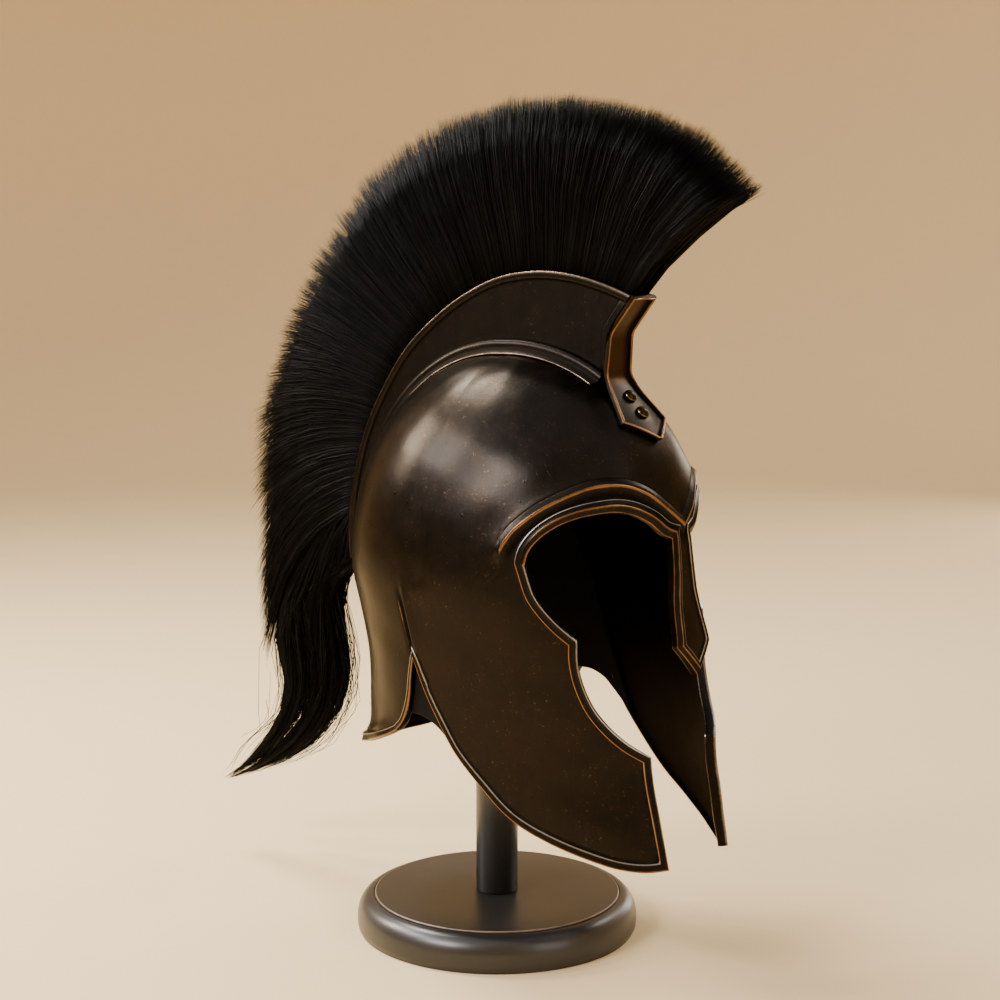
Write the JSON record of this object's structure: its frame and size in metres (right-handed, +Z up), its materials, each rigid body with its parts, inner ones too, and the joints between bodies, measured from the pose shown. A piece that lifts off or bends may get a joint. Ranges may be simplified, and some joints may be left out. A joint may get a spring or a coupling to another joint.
{
  "type": "greek crested helmet on a plain display stand",
  "caption": "Closed-face ancient Greek style helmet with an almond-shaped eye opening each side, long cheek guards, a nose guard and a tall horsehair crest, on a plain round display stand.",
  "frame": {"origin": "middle of the underside of the stand's round foot", "axes": "+Z up, the helmet faces -Y, and X = 0 is its middle plane"},
  "size_m": [0.21, 0.4843, 0.5819],
  "materials": {
    "shell_metal": "satin dark bronze patina with copper-brown worn edges",
    "holder_metal": "satin brown-black patina with a worn bright rim",
    "rivet_metal": "darkened brass",
    "lining_leather": "matte black leather",
    "horsehair": "black horsehair with a faint satin sheen",
    "stand_black": "satin black lacquer"
  },
  "bodies": {
    "root": {"helmet_shell": "shell_metal", "head_lining": "lining_leather", "crest_holder": "holder_metal", "crest_strap": "holder_metal", "rivet_upper": "rivet_metal", "rivet_lower": "rivet_metal", "plume_front": "horsehair", "plume_crown": "horsehair", "plume_back": "horsehair", "plume_fall": "horsehair", "plume_tail": "horsehair", "stand_base": "stand_black", "stand_post": "stand_black"}
  },
  "joints": []
}
